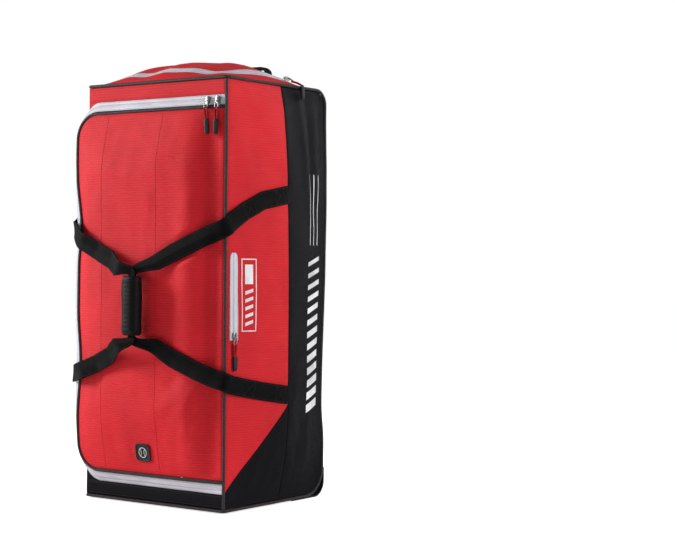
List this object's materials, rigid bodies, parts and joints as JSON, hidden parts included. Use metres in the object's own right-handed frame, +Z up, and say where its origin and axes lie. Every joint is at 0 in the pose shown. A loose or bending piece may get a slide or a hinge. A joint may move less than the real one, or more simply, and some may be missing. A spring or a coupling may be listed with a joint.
{
  "type": "wheeled cricket kit bag",
  "caption": "Tall soft cricket kit bag on wheels, standing upright, with a zipped front lid, zipped top, side pocket, webbing haul handle, top grab handle, skid rails and wheel housings.",
  "frame": {"origin": "the middle of the bag's body at the level of the surface that it stands on, on the flat of its base", "axes": "+X towards the side with the pocket zip, +Y towards the back with the rails and wheels, +Z up the bag"},
  "size_m": [0.45, 0.4339, 0.9419],
  "materials": {
    "red_fabric": "matte woven",
    "black_fabric": "matte woven",
    "zip_tape": "satin",
    "piping": "satin",
    "webbing": "ribbed",
    "padded_wrap": "matte",
    "badge_rubber": "matte",
    "moulded_plastic": "grained",
    "steel": "bright",
    "wheel_rubber": "matte",
    "zip_metal": "bright",
    "pull_cord": "braided",
    "pull_rubber": "matte"
  },
  "bodies": {
    "bag": {"side_right_front": "red_fabric", "side_left_front": "red_fabric", "side_right_rear": "black_fabric", "side_left_rear": "black_fabric", "side_right_corner": "black_fabric", "side_left_corner": "black_fabric", "side_right_piping": "piping", "side_left_piping": "piping", "front_edge_piping": "piping", "top_front_piping": "piping", "base_front_piping": "piping", "front_top_band": "red_fabric", "front_bottom_band": "black_fabric", "lid_panel": "red_fabric", "lid_piping": "piping", "lid_zip_tape": "zip_tape", "top_rim_band": "red_fabric", "top_zip_tape": "zip_tape", "top_flap": "red_fabric", "top_rear_panel": "black_fabric", "back_panel": "black_fabric", "back_lower_band": "black_fabric", "base_panel": "red_fabric", "pocket_zip_tape": "zip_tape", "strap_right": "webbing", "strap_left": "webbing", "handle_wrap": "padded_wrap", "grab_handle": "webbing", "badge": "badge_rubber", "skid_rail_left": "moulded_plastic", "rail_screw_left_1": "steel", "rail_screw_left_2": "steel", "rail_screw_left_3": "steel", "skid_rail_right": "moulded_plastic", "rail_screw_right_1": "steel", "rail_screw_right_2": "steel", "rail_screw_right_3": "steel", "wheel_housing_left": "moulded_plastic", "axle_left": "steel", "housing_screw_left_1": "steel", "housing_screw_left_2": "steel", "wheel_housing_right": "moulded_plastic", "axle_right": "steel", "housing_screw_right_1": "steel", "housing_screw_right_2": "steel", "lid_pull_1_slider": "zip_metal", "lid_pull_1_cord": "pull_cord", "lid_pull_1_tip": "pull_rubber", "lid_pull_2_slider": "zip_metal", "lid_pull_2_cord": "pull_cord", "lid_pull_2_tip": "pull_rubber", "pocket_pull_slider": "zip_metal", "pocket_pull_cord": "pull_cord", "pocket_pull_tip": "pull_rubber", "top_pull_slider": "zip_metal", "top_pull_cord": "pull_cord", "top_pull_tip": "pull_rubber"},
    "wheel_left": {"wheel_left": "wheel_rubber"},
    "wheel_right": {"wheel_right": "wheel_rubber"}
  },
  "joints": [
    {"name": "wheel_left_spin", "type": "hinge", "parent": "bag", "child": "wheel_left", "pos_m": [-0.1515, 0.154, 0.038], "axis": [1, 0, 0], "continuous": true},
    {"name": "wheel_right_spin", "type": "hinge", "parent": "bag", "child": "wheel_right", "pos_m": [0.1515, 0.154, 0.038], "axis": [1, 0, 0], "continuous": true}
  ]
}
